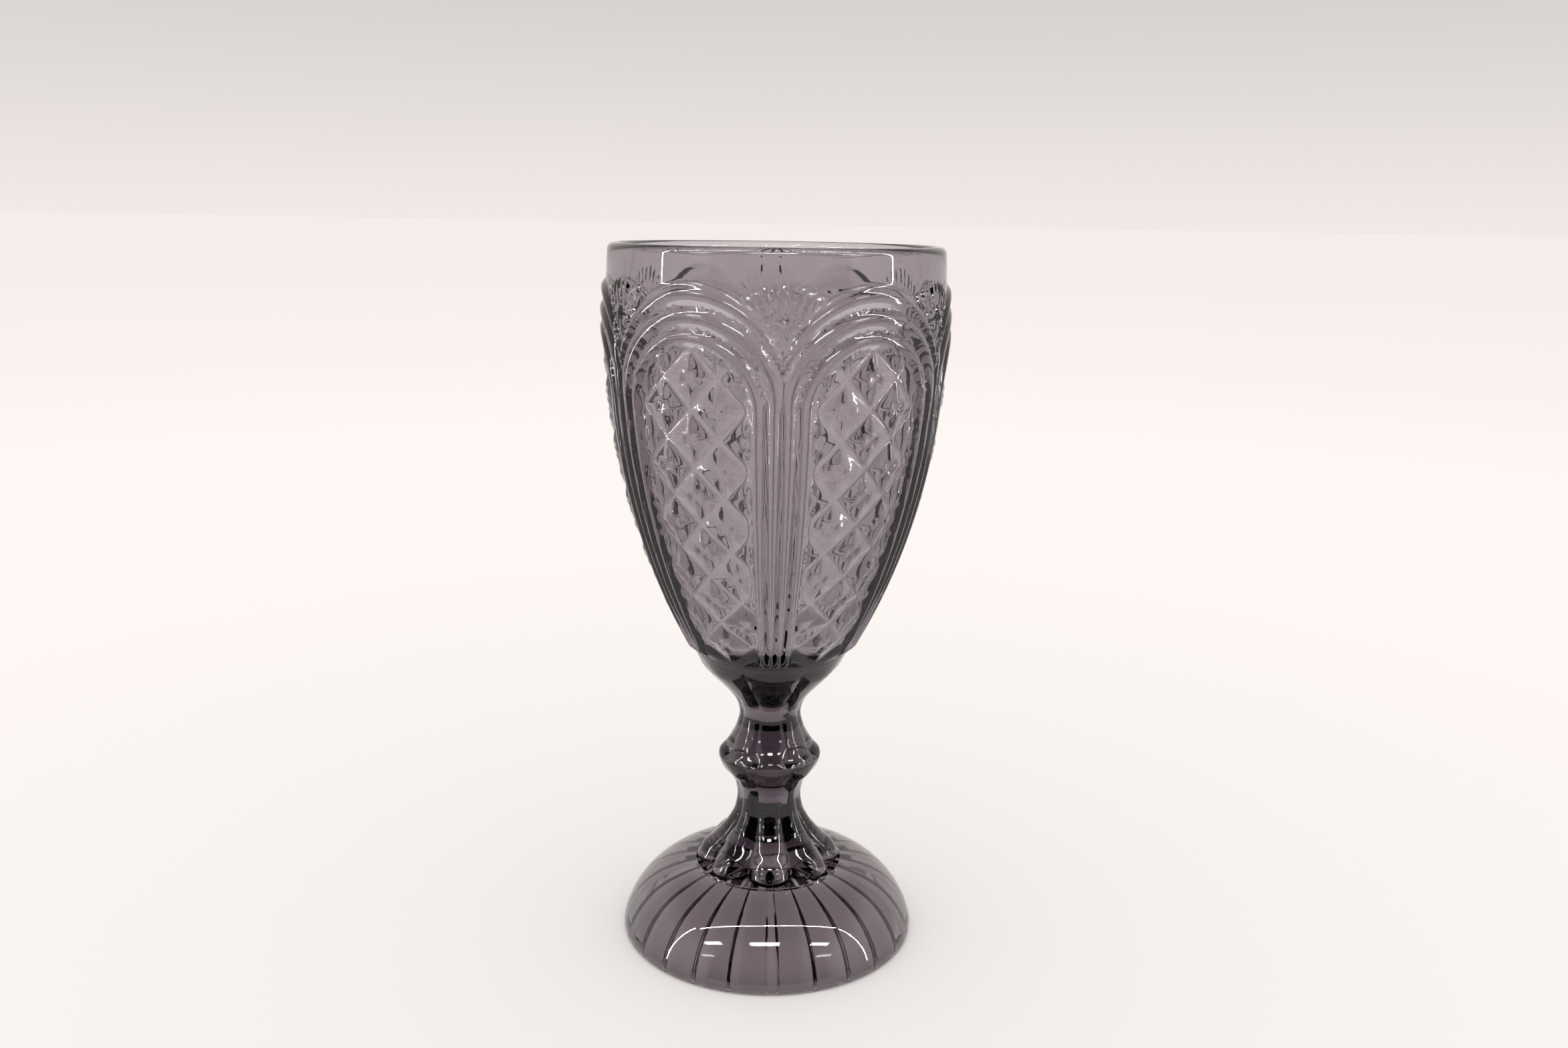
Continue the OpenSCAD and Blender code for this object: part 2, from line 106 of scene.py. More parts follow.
# smooth curve through rows of (place, value, ...) without overshoot
def curveThrough(rows):
    zs = [row[0] for row in rows]

    def slopes(k):
        d = [(b[k] - a[k]) / (b[0] - a[0]) for a, b in zip(rows, rows[1:])]
        m = [d[0]]
        for i in range(1, len(d)):
            m.append(0 if d[i - 1] * d[i] <= 0 else 2 / (1 / d[i - 1] + 1 / d[i]))
        return m + [d[-1]]

    tangents = {k: slopes(k) for k in range(1, len(rows[0]))}

    def at(z, k=1):
        z = min(max(z, zs[0]), zs[-1])
        i = max(j for j in range(len(zs) - 1) if zs[j] <= z)
        h = zs[i + 1] - zs[i]
        t = (z - zs[i]) / h
        m0, m1 = tangents[k][i] * h, tangents[k][i + 1] * h
        return ((2 * t ** 3 - 3 * t ** 2 + 1) * rows[i][k] + (t ** 3 - 2 * t ** 2 + t) * m0
                + (3 * t ** 2 - 2 * t ** 3) * rows[i + 1][k] + (t ** 3 - t ** 2) * m1)

    return at


# heights from low to high, both included, about one pitch apart
def steps(low, high, pitch):
    n = max(1, round((high - low) / pitch))
    return [low + (high - low) * k / n for k in range(n + 1)]


# joints between the pieces, from the CAD nodes' own boxes
jointZ = {name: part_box(name)[0].z / mm for name in ("lower_stem", "knop", "upper_stem", "calyx", "bowl")}
slit = 0.01  # each piece stops this short of its joint, so that no two faces lie in one place
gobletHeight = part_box("bowl")[1].z / mm


# Bowl: one arc of side wall, and the relief of the mould on the outside
bowl = {
    "widestRadius": 39.3,  # under the relief
    "widestHeight": 150,
    "rimRadius": 38.85,
    "wall": 3.4,
    "lowWall": 4.2,  # at the foot of the side wall
    "jointRadius": 19.1,
    "plainBand": 7.2,  # below the lip
    "drop": 3,  # of the hollow, below the joint with the calyx
    "bottomDepth": 10.5,
    "columns": 432,
    "rowPitch": 0.5,
    "innerPitch": 5,
    "lipSteps": 12,
    "bottomPitch": (0.1, 0.06),  # of the arc of the rounded bottom, in the bowl and in the calyx
    "bottomLast": 0.98,  # the last ring round its lowest point
}
relief = {
    "height": 1.3,
    "arches": 6,
    "fieldRadius": 13.5,
    "ribWidths": (3.7, 4.6, 5.0),  # inner, middle and outer rib at the crown
    "outerRibSide": 1.3,
    "outerRibShare": 0.85,  # of the height
    "halfDiamond": 6.6,
    "latticeCut": 0.4,  # of the valleys, below the plain glass
    "latticeCutEdge": 0.6,  # from the inner rib to where they are that deep
    "notchLevel": 0.5,  # of a diamond's height, where the two notches cross its tip
    "notchSlope": 0.94,
    "blades": 9,
    "bladeLength": 15.6,
    "bladeAngle": 8.2,
    "bladeHeight": 0.5,  # of the relief
    "bladeRise": 6,  # from the fan's foot to where they are that high
    "bladeEnd": 3.2,  # length of the rounded end
    "fadeHeight": 1.8,  # above the joint with the calyx
    "softness": 0.035,  # rounds the creases
    "least": 0.05,  # up or down, that counts as cut
}
bandZ = gobletHeight - bowl["plainBand"]
bowlRise = bowl["widestHeight"] - jointZ["bowl"]
bowlSwell = bowl["widestRadius"] - bowl["jointRadius"]
bowlCurve = (bowlRise ** 2 + bowlSwell ** 2) / (2 * bowlSwell)
lipRadius = bowl["wall"] / 2
lipZ = gobletHeight - lipRadius
sector = 360 / relief["arches"]
mmPerDegree = math.pi * bowl["widestRadius"] / 180
ribRadii = [relief["fieldRadius"] + sum(relief["ribWidths"][:k]) for k in range(4)]
springZ = bandZ - ribRadii[3]
fanZ = bandZ - relief["bladeLength"]


def plainRadius(z):
    if z < bowl["widestHeight"]:
        under = bowl["widestHeight"] - z
        return bowl["widestRadius"] - bowlCurve + math.sqrt(bowlCurve ** 2 - under ** 2)
    share = (z - bowl["widestHeight"]) / (lipZ - bowl["widestHeight"])
    return bowl["widestRadius"] + (bowl["rimRadius"] - bowl["widestRadius"]) * share ** 2


# along the glass, down from the widest place
def slopeLength(z):
    return bowlCurve * math.asin((bowl["widestHeight"] - z) / bowlCurve)


def softMin(a, b):
    k = relief["softness"]
    h = max(k - abs(a - b), 0) / k
    return min(a, b) - h * h * k / 4


# below 0 in the field of an arch, then 0 to 3 across its ribs, and above 3 outside
def ribPlace(d, z):
    x, y = d * mmPerDegree, max(z - springZ, 0)
    rho = math.hypot(x, y)
    reach = sector / 2 * mmPerDegree
    r1, r2, r3 = ribRadii[1:]
    valleyY = math.sqrt(r2 * r2 - reach * reach)
    sideWidth = reach - r1
    middleWidth = sideWidth + (r2 - r1 - sideWidth) * min(1, y / valleyY)
    if rho < r1:
        return (rho - ribRadii[0]) / (r1 - ribRadii[0])
    if rho < r1 + middleWidth:
        return 1 + (rho - r1) / middleWidth
    turn = math.atan2(y, x)
    sideR = r2 + relief["outerRibSide"]
    outer = 1 / math.sqrt((math.cos(turn) / sideR) ** 2 + (math.sin(turn) / r3) ** 2)
    return 2 + (rho - r1 - middleWidth) / (outer - r1 - middleWidth)


def diamondHeight(d, z):
    u = math.radians(d) * plainRadius(z) / relief["halfDiamond"]
    v = (slopeLength(z) - slopeLength(springZ + relief["fieldRadius"])) / relief["halfDiamond"]
    p = 2 * abs((u + v) / 2 - round((u + v) / 2))
    q = 2 * abs((u - v) / 2 - round((u - v) / 2))
    notch = relief["notchLevel"] + relief["notchSlope"] * (1 - max(p, q))
    return max(0, softMin(softMin(p, q), notch))


def fanHeight(d, z):
    x, y = (sector / 2 - d) * mmPerDegree, z - fanZ
    if y <= 0:
        return 0
    place = math.degrees(math.atan2(x, y)) / relief["bladeAngle"]
    if place > relief["blades"] / 2:
        return 0
    rho = math.hypot(x, y)
    across = 2 * (place - round(place))
    end = (rho - relief["bladeLength"] + relief["bladeEnd"]) / relief["bladeEnd"]
    top = math.sqrt(max(0, 1 - across ** 2 - max(0, end) ** 2))
    return relief["bladeHeight"] * top * min(1, rho / relief["bladeRise"])


def reliefHeight(a, z):
    if z >= bandZ or z <= jointZ["bowl"]:
        return 0
    d = abs(a % sector - sector / 2)
    p = ribPlace(d, z)
    fade = min(1, (z - jointZ["bowl"]) / relief["fadeHeight"])
    if p < 0:
        # the valleys of the lattice lie deeper than the plain glass, but not beside the rib
        fromRib = -p * relief["ribWidths"][0]
        cut = relief["latticeCut"] * min(1, fromRib / relief["latticeCutEdge"])
        return fade * ((relief["height"] + cut) * diamondHeight(d, z) - cut)
    if p < 2:
        share = 1 - (2 * (p - math.floor(p)) - 1) ** 2
    elif p < 2.5:
        share = (1 - (2 * p - 5) ** 2) * relief["outerRibShare"]
    elif p < 3:
        share = (1 + math.cos(2 * math.pi * (p - 2.5))) / 2 * relief["outerRibShare"]  # runs out softly
    else:
        share = fanHeight(d, z)
    return relief["height"] * fade * share


# the hollow: side wall down to sideZ, and a rounded bottom, which the calyx finishes
sideZ = jointZ["bowl"] - bowl["drop"] + bowl["bottomDepth"]


def innerRadius(z):
    share = min(1, (lipZ - z) / (lipZ - sideZ))
    return plainRadius(z) - bowl["wall"] - (bowl["lowWall"] - bowl["wall"]) * share


# radius and height on the rounded bottom, from the side wall at 0 to its lowest point at 1
def bottomPoint(share):
    t = math.pi / 2 * share
    return innerRadius(sideZ) * math.cos(t), sideZ - bowl["bottomDepth"] * math.sin(t)


def bottomShare(z):
    return math.asin((sideZ - z) / bowl["bottomDepth"]) * 2 / math.pi


def makeBowl():
    low = jointZ["bowl"] + slit
    outside = [(plainRadius(z), z) for z in steps(low, lipZ, bowl["rowPitch"])]
    lip = []
    for k in range(1, bowl["lipSteps"] + 1):
        t = math.pi * k / bowl["lipSteps"]
        lip.append((bowl["rimRadius"] - lipRadius * (1 - math.cos(t)), lipZ + lipRadius * math.sin(t)))
    inside = [(innerRadius(z), z) for z in steps(sideZ, lipZ, bowl["innerPitch"])[::-1][1:]]
    bottom = [bottomPoint(share) for share in steps(0, bottomShare(low), bowl["bottomPitch"][0])[1:]]
    profile = [bottom[-1]] + outside + lip + inside + bottom
    piece = spinProfile("bowlGlass", profile, bowl["columns"])

    def newRadius(r, a, z):
        onSkin = z < bandZ and abs(r - plainRadius(z)) < tolerance
        return r + reliefHeight(a, z) if onSkin else r

    moveRadially(piece, newRadius)
    return piece


# Stem: rows of (height, radius on a lobe, radius in a crease), lobes at 0, 45 ... degrees
stem = {
    "lobes": 8,
    "petals": [(17.7, 17.85, 14.2), (18.7, 17.95, 14.25), (19.0, 17.8, 14.2), (19.3, 17.5, 14.1)],
    "shaft": [
        (19.3, 17.5, 14.1), (21.5, 16.2, 12.9), (24.5, 13.0, 10.8), (28, 10.1, 8.7),
        (31.5, 8.4, 7.5), (35, 7.9, 7.2), (38, 8.4, 7.85), (40, 9.55, 9.0),
        (42, 11.35, 10.5), (43, 11.9, 11.4), (44.3, 12.4, 12.2), (45.6, 12.65, 12.6),
        (46.1, 12.6, 12.3)],
    "knopTop": [
        (46.1, 12.6, 12.3), (46.7, 12.45, 11.2), (47.4, 11.95, 10.5), (48.5, 10.9, 9.95),
        (50, 9.85, 9.35), (53, 8.35, 8.15), (56.5, 7.55, 7.2), (58.5, 7.9, 7.4),
        (60, 8.55, 8.0), (62, 10.1, 9.3), (64.4, 12.3, 11.75), (67, 14.9, 14.1), (68.5, 16.35, 15.3)],
    "collar": [
        (68.5, 16.35, 15.3), (69.6, 17.05, 16.4), (71.3, 17.85, 17.6), (72.8, 18.55, 18.5),
        (74, 19.1, 19.1)],
    "columns": 192,
    "rowPitch": 0.35,
}
stemKeys = ("petals", "shaft", "knopTop", "collar")
stemParts = [curveThrough(stem[key]) for key in stemKeys]
stemTops = [stem[key][-1][0] for key in stemKeys]


def stemRadius(z, k):
    for part, top in zip(stemParts, stemTops):
        if z <= top:
            return part(z, k)
    return stemParts[-1](z, k)


def lobedRadius(a, z):
    width = 360 / stem["lobes"]
    off = 2 * abs(a / width - round(a / width))
    lobe, crease = stemRadius(z, 1), stemRadius(z, 2)
    return lobe + (crease - lobe) * off * off


# keeps the shading sharp along the creases
def markCreases(piece):
    width = 360 / stem["lobes"]
    for edge in piece.data.edges:
        ends = [piece.data.vertices[k].co for k in edge.vertices]
        inCrease = [abs(abs(azimuth(co) % width) - width / 2) < 0.1 and co.xy.length > mm for co in ends]
        if all(inCrease):
            edge.use_edge_sharp = True


def makeStemPiece(name, low, high):
    low, high = low + slit, high - slit
    cuts = [low] + [z for z in stemTops if low < z < high] + [high]
    heights = []
    for a, b in zip(cuts, cuts[1:]):
        heights += steps(a, b, stem["rowPitch"])[:-1]
    heights.append(high)
    profile = [(stemRadius(z, 1), z) for z in heights]
    if name == "calyxGlass":
        shares = steps(bottomShare(high), bowl["bottomLast"], bowl["bottomPitch"][1])
        profile += [bottomPoint(share) for share in shares]
        profile.append((0, bottomPoint(1)[1]))
    else:
        profile.append((0, high))
    if name == "lowerStemGlass":
        tip = [(r, coneHeight(r)) for r in steps(0, coneRadius(low), foot["tipPitch"])]
        profile = tip + profile
    else:
        profile = [(0, low)] + profile
    piece = spinProfile(name, profile, stem["columns"])

    def newRadius(r, a, z):
        return lobedRadius(a, z) if abs(r - stemRadius(z, 1)) < tolerance else r

    moveRadially(piece, newRadius)
    markCreases(piece)
    return piece


# Foot: a dome with a hollow under it, where the mould left radial grooves
foot = {
    "radius": 36.4,
    "discRadius": 18.6,
    "discHeight": 17.7,
    "discStep": 0.5,
    "discCorner": (0.35, 0.1),  # cut off its edge, at both ends and in the middle of the rounding
    "discFlare": 0.05,
    "edgeHeight": 2,
    "edgeRounding": 1,
    "bulge": 3.7,
    "wall": 4.2,
    "grooves": 24,
    "grooveDepth": 1.2,
    "grooveWidth": 3.8,
    "columns": 384,
    "coneSlope": 24,  # of the hollow towards its top
    "coneRounding": 3,
    "conePitch": 0.8,
    "tipPitch": 0.5,  # in the lower stem
    "coneGroove": 0.55,  # of the grooves' depth, on the cone
    "coneGrooveRise": 6,  # from the joint out to where they are that deep
    "domeSteps": 28,
    "edgeSteps": 6,
    "underSteps": 24,
}


# the hollow under the foot, as radius and height of its arc's middle, radius of the arc,
# and radius and height where the arc runs on into the cone
def hollowShape():
    domeTop = foot["discHeight"] - foot["discStep"]
    dx, dz = foot["radius"] - foot["discRadius"], domeTop - foot["edgeHeight"]
    chord = math.hypot(dx, dz)
    domeR = (chord ** 2 / 4 + foot["bulge"] ** 2) / (2 * foot["bulge"])
    cx = (foot["radius"] + foot["discRadius"]) / 2 - (domeR - foot["bulge"]) * dz / chord
    cz = (domeTop + foot["edgeHeight"]) / 2 - (domeR - foot["bulge"]) * dx / chord
    underR = domeR - foot["wall"]
    slope = math.radians(foot["coneSlope"])
    return cx, cz, domeR, underR, cx + underR * math.sin(slope), cz + underR * math.cos(slope)


# radius of the cone at a height, below its rounded tip
def coneRadius(z):
    coneR, coneZ = hollowShape()[4:]
    return coneR - (z - coneZ) / math.tan(math.radians(foot["coneSlope"]))


# height of the cone over a radius, its tip rounded
def coneHeight(r):
    coneR, coneZ = hollowShape()[4:]
    slope, tip = math.tan(math.radians(foot["coneSlope"])), foot["coneRounding"]
    reach = r if r > tip else (r * r + tip * tip) / (2 * tip)
    return coneZ + (coneR - reach) * slope


def makeFoot():
    cx, cz, domeR, underR, coneR = hollowShape()[:5]
    domeTop = foot["discHeight"] - foot["discStep"]
    ringInner = cx + math.sqrt(underR ** 2 - cz ** 2)
    high = foot["discHeight"] - slit
    holeR = coneRadius(high)

    def arc(x, z, radius, start, end, n):
        turns = [start + (end - start) * k / n for k in range(n + 1)]
        return [(x + radius * math.cos(t), z + radius * math.sin(t)) for t in turns]

    # over the top: disc, its rounded step, the dome and the edge
    discR, (ends, middle) = foot["discRadius"], foot["discCorner"]
    stepR = discR + foot["discFlare"]
    top = [(holeR, high), (discR - ends, high), (discR - middle, high - middle)]
    top += [(discR, high - ends), (stepR, domeTop)]
    a0 = math.atan2(domeTop - cz, stepR - cx)
    a1 = math.atan2(foot["edgeHeight"] - cz, foot["radius"] - cx)
    e = foot["edgeRounding"]
    dome = arc(cx, cz, domeR, a0, a1, foot["domeSteps"])[1:]
    edge = arc(foot["radius"] - e, e, e, 0, -math.pi / 2, foot["edgeSteps"])
    t0, t1 = math.asin(-cz / underR), math.pi / 2 - math.radians(foot["coneSlope"])
    under = arc(cx, cz, underR, t0, t1, foot["underSteps"])
    cone = [(r, coneHeight(r)) for r in steps(holeR, coneR, foot["conePitch"])[::-1][1:]]
    piece = spinProfile("footGlass", top + dome + edge + under + cone, foot["columns"])
    halfAngle = math.degrees(foot["grooveWidth"] / 2 / ringInner)
    pitch = 360 / foot["grooves"]
    for v in piece.data.vertices:
        r, z = math.hypot(v.co.x, v.co.y) / mm, v.co.z / mm
        onArc = r > coneR - tolerance and abs(math.hypot(r - cx, z - cz) - underR) < tolerance
        onCone = holeR + tolerance < r <= coneR - tolerance and abs(z - coneHeight(r)) < tolerance
        if not (onArc or onCone):
            continue
        a = azimuth(v.co)
        across = abs(a / pitch - round(a / pitch)) * pitch / halfAngle
        if across >= 1:
            continue
        turn = math.atan2(z - cz, r - cx) if onArc else t1
        deep = foot["grooveDepth"] * (1 - across ** 2)
        if onArc:
            deep *= min(1, 2 * (math.pi / 2 - turn) / (math.pi / 2 - t0))
        else:
            deep *= foot["coneGroove"] * min(1, (r - holeR) / foot["coneGrooveRise"])
        newR, newZ = r + deep * math.cos(turn), z + deep * math.sin(turn)
        if z < tolerance:
            newZ = 0
        v.co.x *= newR / r
        v.co.y *= newR / r
        v.co.z = newZ * mm
    piece.data.update()
    return piece


glassPieces = {
    "foot": makeFoot(),
    "lower_stem": makeStemPiece("lowerStemGlass", jointZ["lower_stem"], jointZ["knop"]),
    "knop": makeStemPiece("knopGlass", jointZ["knop"], jointZ["upper_stem"]),
    "upper_stem": makeStemPiece("upperStemGlass", jointZ["upper_stem"], jointZ["calyx"]),
    "calyx": makeStemPiece("calyxGlass", jointZ["calyx"], jointZ["bowl"]),
    "bowl": makeBowl(),
}
print("glass modelled")


# Materials

def linear(hexColour):
    rgb = []
    for k in (0, 2, 4):
        c = int(hexColour[k:k + 2], 16) / 255
        rgb.append(c / 12.92 if c <= 0.04045 else ((c + 0.055) / 1.055) ** 2.4)
    return (*rgb, 1)


# settings go by name or number, links by name, and feeds to the inputs in their order
def addNode(tree, kind, settings=None, feeds=(), **links):
    node = tree.nodes.new(kind)
    for key, value in (settings or {}).items():
        if isinstance(key, int) or key in node.inputs:
            node.inputs[key].default_value = value
        else:
            setattr(node, key, value)
    for k, output in enumerate(feeds):
        tree.links.new(output, node.inputs[k])
    for key, output in links.items():
        tree.links.new(output, node.inputs[key.replace("_", " ")])
    return node


glass = {
    "ior": 1.51,  # soda-lime
    "absorbColour": "765974",
    "absorbDensity": 168.0,  # per metre of glass
    "polish": 0.022,  # roughness of what the surface reflects
    "cutPolish": 0.05,  # the same where the mould is cut with a pattern
    # mm from dimple to dimple, and their depth where the mould is plain and where it is cut
    "ripple": (1.3, 0.002, 0.0035),  # as light passes through
    "sparkle": (0.55, 0.0012, 0.011),  # as it is mirrored
}


# soda-lime glass tinted in the melt and pressed: clear, darker where it is thick
def smokyGlass():
    m = bpy.data.materials.new("smokyPressedGlass")
    m.use_nodes = True
    t = m.node_tree
    t.nodes.clear()
    place = addNode(t, "ShaderNodeTexCoord")
    cut = addNode(t, "ShaderNodeAttribute", {"attribute_name": "mouldCut"})

    def grained(key):
        size, plain, deep = glass[key]
        noise = addNode(t, "ShaderNodeTexNoise", {"Scale": 1 / (size * mm), "Detail": 1.0},
                        Vector=place.outputs["Object"])
        depth = addNode(t, "ShaderNodeMapRange", {"To Min": plain * mm, "To Max": deep * mm},
                        Value=cut.outputs["Fac"])
        return addNode(t, "ShaderNodeBump", {"Strength": 1.0}, Height=noise.outputs["Fac"],
                       Distance=depth.outputs["Result"])

    bump, sparkle = grained("ripple"), grained("sparkle")
    through = addNode(t, "ShaderNodeBsdfRefraction", {"Color": (1, 1, 1, 1), "IOR": glass["ior"],
                                                      "Roughness": 0.0}, Normal=bump.outputs["Normal"])
    # within the glass the reflections are left sharp
    side = addNode(t, "ShaderNodeNewGeometry")
    rough = addNode(t, "ShaderNodeMapRange", {"To Min": glass["polish"], "To Max": glass["cutPolish"]},
                    Value=cut.outputs["Fac"])
    outside = addNode(t, "ShaderNodeMapRange", {"To Min": 1.0, "To Max": 0.0},
                      Value=side.outputs["Backfacing"])
    polish = addNode(t, "ShaderNodeMath", {"operation": "MULTIPLY"},
                     feeds=(rough.outputs["Result"], outside.outputs["Result"]))
    shine = addNode(t, "ShaderNodeBsdfAnisotropic", {"Color": (1, 1, 1, 1)},
                    Roughness=polish.outputs["Value"], Normal=sparkle.outputs["Normal"])
    share = addNode(t, "ShaderNodeFresnel", {"IOR": glass["ior"]}, Normal=bump.outputs["Normal"])
    body = addNode(t, "ShaderNodeMixShader",
                   feeds=(share.outputs["Fac"], through.outputs["BSDF"], shine.outputs["BSDF"]))
    clear = addNode(t, "ShaderNodeBsdfTransparent", {"Color": (1, 1, 1, 1)})
    joint = addNode(t, "ShaderNodeAttribute", {"attribute_name": "joint"})
    shadow = addNode(t, "ShaderNodeLightPath")
    either = addNode(t, "ShaderNodeMath", {"operation": "MAXIMUM"},
                     feeds=(joint.outputs["Fac"], shadow.outputs["Is Shadow Ray"]))
    mixed = addNode(t, "ShaderNodeMixShader",
                    feeds=(either.outputs["Value"], body.outputs["Shader"], clear.outputs["BSDF"]))
    tint = addNode(t, "ShaderNodeVolumeAbsorption", {"Color": linear(glass["absorbColour"]),
                                                     "Density": glass["absorbDensity"]})
    addNode(t, "ShaderNodeOutputMaterial", Surface=mixed.outputs["Shader"], Volume=tint.outputs["Volume"])
    return m


# 1 on the flat faces where this piece runs on into the next, else 0
def markJoints(piece):
    mark = piece.data.attributes.new("joint", "FLOAT", "FACE")
    heights = [z * mm for z in jointZ.values()]
    values = []
    for face in piece.data.polygons:
        flat = abs(face.normal.z) > 0.999
        near = any(abs(face.center.z - z) < 2 * slit * mm for z in heights)
        inner = math.hypot(face.center.x, face.center.y) < (bowl["jointRadius"] + 0.1) * mm
        values.append(1.0 if flat and near and inner else 0.0)
    mark.data.foreach_set("value", values)


# 1 where the mould is cut with a pattern, which leaves its grain on the glass
def markMouldCut(piece):
    mark = piece.data.attributes.new("mouldCut", "FLOAT", "POINT")
    values = []
    for v in piece.data.vertices:
        r, z = v.co.xy.length / mm, v.co.z / mm
        outside = r > innerRadius(z) + bowl["wall"] / 2
        raised = outside and abs(r - plainRadius(z)) > relief["least"]
        onRelief = jointZ["bowl"] <= z < bandZ and raised
        values.append(1.0 if onRelief else 0.0)
    mark.data.foreach_set("value", values)


smoky = smokyGlass()
for node, piece in glassPieces.items():
    markJoints(piece)
    markMouldCut(piece)
    piece.data.materials.clear()
    piece.data.materials.append(smoky)
    smoothFaces(piece)
    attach(piece, "root")
    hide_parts(node)
print("glass finished")


# Stage: a pale floor in a light tent
stage = {
    # m from the goblet, and the floor's colour there, with painted light and shade: lightest 0.5 to 0.8 m
    # out, a little darker near the goblet and darker far off; the last is the wall's, so that no horizon
    # shows
    "floorColoursAndPaintedLight": [(0.12, "f5f1ee"), (0.5, "fbf3f0"), (0.8, "fbf3f0"), (1.4, "f6eeeb"),
                     (4.0, "f1e9e6")],
    "wallColour": "f1e9e6",  # at the horizon
    # painted shade: the colour the wall darkens to towards the top, as only the camera sees it
    "topShadeColour": "d6d2cf",
    "wallTop": 0.146,  # sine of the angle up to there
    "roomColour": "2a2a2c",
    "roomSide": (1.0, 1.1),  # half the opening, to each metre forward, and where the cloth begins
    "roofEdge": (0.5, 0.7),  # sine of the angle up to where the cloth ends, all round
    "roofShare": 0.9,  # how much of the light is gone above it
    "floorSize": 60.0,  # m
    "light": 1.07,  # strength with which the tent lights the floor
}


# matt card, pale all over, with painted light and shade that change with distance from the goblet
def paleFloor():
    m = bpy.data.materials.new("paleCard")
    m.use_nodes = True
    t = m.node_tree
    t.nodes.clear()
    place = addNode(t, "ShaderNodeTexCoord")
    away = addNode(t, "ShaderNodeVectorMath", {"operation": "LENGTH"}, Vector=place.outputs["Object"])
    reach = stage["floorColoursAndPaintedLight"][-1][0]
    share = addNode(t, "ShaderNodeMath", {"operation": "DIVIDE", 1: reach}, feeds=[away.outputs["Value"]])
    # painted light and shade: the ramp makes the card lighter or darker by its distance from the goblet
    ramp = addNode(t, "ShaderNodeValToRGB", Fac=share.outputs["Value"])
    stops = ramp.color_ramp.elements
    for distance, hexColour in stage["floorColoursAndPaintedLight"][1:-1]:
        stops.new(distance / reach)
    for stop, (distance, hexColour) in zip(stops, stage["floorColoursAndPaintedLight"]):
        stop.position, stop.color = distance / reach, linear(hexColour)
    matt = addNode(t, "ShaderNodeBsdfDiffuse", Color=ramp.outputs["Color"])
    addNode(t, "ShaderNodeOutputMaterial", Surface=matt.outputs["BSDF"])
    return m


# white cloth all round, which alone lights the floor. It ends overhead and is open in front, where
# only what has been mirrored in the glass sees the dark room
def lightTent():
    world = bpy.data.worlds.new("lightTent")
    bpy.context.scene.world = world
    world.use_nodes = True
    t = world.node_tree
    t.nodes.clear()
    rays = addNode(t, "ShaderNodeLightPath")
    lit = addNode(t, "ShaderNodeBackground", {"Color": (1, 1, 1, 1), "Strength": stage["light"]})
    room = addNode(t, "ShaderNodeBackground", {"Color": linear(stage["roomColour"]), "Strength": 1.0})
    # how far to the side a ray goes, to each metre forward
    way = addNode(t, "ShaderNodeTexCoord")
    parts = addNode(t, "ShaderNodeSeparateXYZ", Vector=way.outputs["Generated"])
    across = addNode(t, "ShaderNodeMath", {"operation": "DIVIDE"},
                     feeds=(parts.outputs["X"], parts.outputs["Y"]))
    side = addNode(t, "ShaderNodeMath", {"operation": "ABSOLUTE"}, feeds=[across.outputs["Value"]])
    rise = addNode(t, "ShaderNodeMapRange", {"From Min": 0.0, "From Max": stage["wallTop"]},
                   Value=parts.outputs["Z"])
    # painted shade: only the camera sees the wall get darker towards the top
    seenRise = addNode(t, "ShaderNodeMath", {"operation": "MULTIPLY"},
                       feeds=(rise.outputs["Result"], rays.outputs["Is Camera Ray"]))
    shade = addNode(t, "ShaderNodeMix", {"data_type": "RGBA", 6: linear(stage["wallColour"]),
                                         7: linear(stage["topShadeColour"])}, Factor=seenRise.outputs["Value"])
    wall = addNode(t, "ShaderNodeBackground", {"Strength": 1.0}, Color=shade.outputs[2])
    low, high = stage["roomSide"]
    inSide = addNode(t, "ShaderNodeMapRange", {"From Min": low, "From Max": high,
                                               "To Min": 1.0, "To Max": 0.0}, Value=side.outputs["Value"])
    front = addNode(t, "ShaderNodeMath", {"operation": "LESS_THAN", 1: 0.0}, feeds=[parts.outputs["Y"]])
    mirrored = addNode(t, "ShaderNodeMath", {"operation": "GREATER_THAN", 1: 0.5},
                       feeds=[rays.outputs["Glossy Depth"]])
    opening = inSide.outputs["Result"]
    for other in (front, mirrored):
        product = addNode(t, "ShaderNodeMath", {"operation": "MULTIPLY"},
                          feeds=(opening, other.outputs["Value"]))
        opening = product.outputs["Value"]
    low, high = stage["roofEdge"]
    roof = addNode(t, "ShaderNodeMapRange", {"From Min": low, "From Max": high,
                                             "To Max": stage["roofShare"]}, Value=parts.outputs["Z"])
    dark = addNode(t, "ShaderNodeMath", {"operation": "MAXIMUM"}, feeds=(opening, roof.outputs["Result"]))
    # neither what the camera sees nor what lights the floor has the dark
    fromFloor = addNode(t, "ShaderNodeMath", {"operation": "ADD"},
                        feeds=(rays.outputs["Is Camera Ray"], rays.outputs["Diffuse Depth"]))
    inGlass = addNode(t, "ShaderNodeMath", {"operation": "LESS_THAN", 1: 0.5},
                      feeds=[fromFloor.outputs["Value"]])
    share = addNode(t, "ShaderNodeMath", {"operation": "MULTIPLY"},
                    feeds=(dark.outputs["Value"], inGlass.outputs["Value"]))
    seen = addNode(t, "ShaderNodeMixShader",
                   feeds=(share.outputs["Value"], wall.outputs["Background"], room.outputs["Background"]))
    mix = addNode(t, "ShaderNodeMixShader",
                  feeds=(rays.outputs["Is Diffuse Ray"], seen.outputs["Shader"], lit.outputs["Background"]))
    addNode(t, "ShaderNodeOutputWorld", Surface=mix.outputs["Shader"])


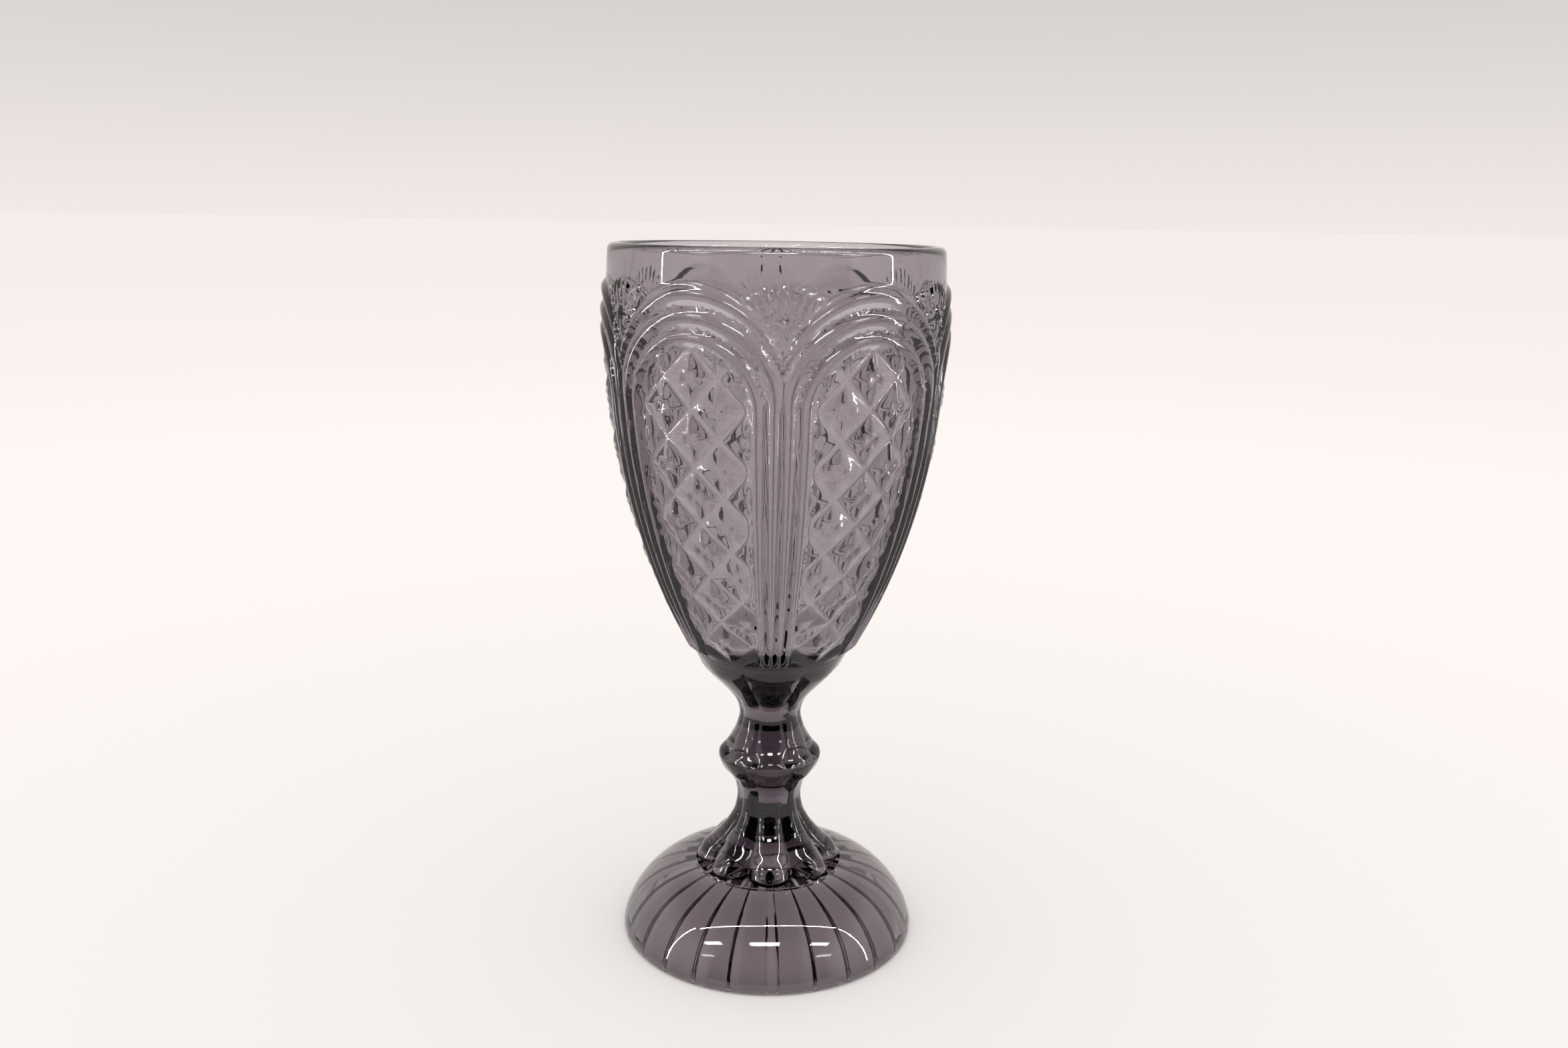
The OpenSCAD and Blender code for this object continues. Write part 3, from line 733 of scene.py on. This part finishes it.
# what the glass mirrors: a thin bright frame of the tent at each side and overhead, and
# panels of the ceiling in front; middle, width, height and radiance, in metres
lamps = {
    "frameLeft": ((-0.33, -0.07, 0.165), 0.005, 0.33, 90),
    "frameRight": ((0.33, -0.09, 0.165), 0.005, 0.33, 90),
    "frameTop": ((0, -0.085, 0.335), 0.62, 0.005, 90),
    "panelMiddle": ((-0.02, -0.26, 0.335), 0.14, 0.04, 30),
    "panelLeft": ((-0.32, -0.24, 0.335), 0.14, 0.04, 22),
    "panelRight": ((0.29, -0.26, 0.335), 0.14, 0.04, 22),
    "rearLeft": ((-0.55, -0.45, 0.335), 0.18, 0.05, 10),
    "rearRight": ((0.46, -0.46, 0.335), 0.18, 0.05, 10),
}


# they are small and shine on nothing but the glass, so that the floor keeps the tent's even light
def hangLamps():
    for name, (place, width, height, radiance) in lamps.items():
        data = bpy.data.lights.new(name, "AREA")
        data.shape = "RECTANGLE"
        data.size, data.size_y = width, height
        data.energy = radiance * math.pi * width * height
        lamp = bpy.data.objects.new(name, data)
        bpy.context.scene.collection.objects.link(lamp)
        lamp.location = place
        if name.startswith("frame") and place[0]:
            lamp.rotation_euler = (math.pi / 2, 0, math.copysign(math.pi / 2, place[0]))
        lamp.visible_camera = lamp.visible_diffuse = lamp.visible_transmission = False


deselectAll()
bpy.ops.mesh.primitive_plane_add(size=stage["floorSize"], location=(0, 0, 0))
floor = bpy.context.object
floor.name = "floor"
floor.data.materials.append(paleFloor())
lightTent()
hangLamps()
print("stage set")
bpy.context.scene.view_settings.view_transform = "Standard"
# light runs to and fro in thick glass, so it may turn more often than the default
lightTurns = 24
paths = bpy.context.scene.cycles
paths.max_bounces = paths.transmission_bounces = lightTurns
paths.glossy_bounces = paths.transparent_max_bounces = lightTurns


# Camera: where the photographer stood, in the goblet's own frame
camera = {
    "distance": 317.34,
    "height": 176.26,
    "turn": 2.32,  # the goblet is turned this far to the camera's line
    "yaw": 2.80,
    "down": 12.83,
    "roll": 0.96,
    "focalShare": 0.8629,  # of the frame's width
    "sensorWidth": 36,
    "nearest": 0.01,  # m
}


def placeCamera():
    data = bpy.data.cameras.new("camera")
    data.sensor_fit = "HORIZONTAL"
    data.sensor_width = camera["sensorWidth"]
    data.lens = camera["sensorWidth"] * camera["focalShare"]
    data.clip_start = camera["nearest"]
    cam = bpy.data.objects.new("camera", data)
    bpy.context.scene.collection.objects.link(cam)
    turn, yaw, down, roll = (math.radians(camera[k]) for k in ("turn", "yaw", "down", "roll"))
    ahead = Vector((math.sin(yaw) * math.cos(down), math.cos(yaw) * math.cos(down), -math.sin(down)))
    right = Vector((math.cos(yaw), -math.sin(yaw), 0))
    up = right.cross(ahead)
    right, up = math.cos(roll) * right + math.sin(roll) * up, math.cos(roll) * up - math.sin(roll) * right
    place = Vector((-math.sin(turn), -math.cos(turn), 0)) * camera["distance"] * mm
    place.z = camera["height"] * mm
    cam.matrix_world = Matrix.Translation(place) @ Matrix((right, up, -ahead)).transposed().to_4x4()
    bpy.context.scene.camera = cam


placeCamera()
print("camera placed")
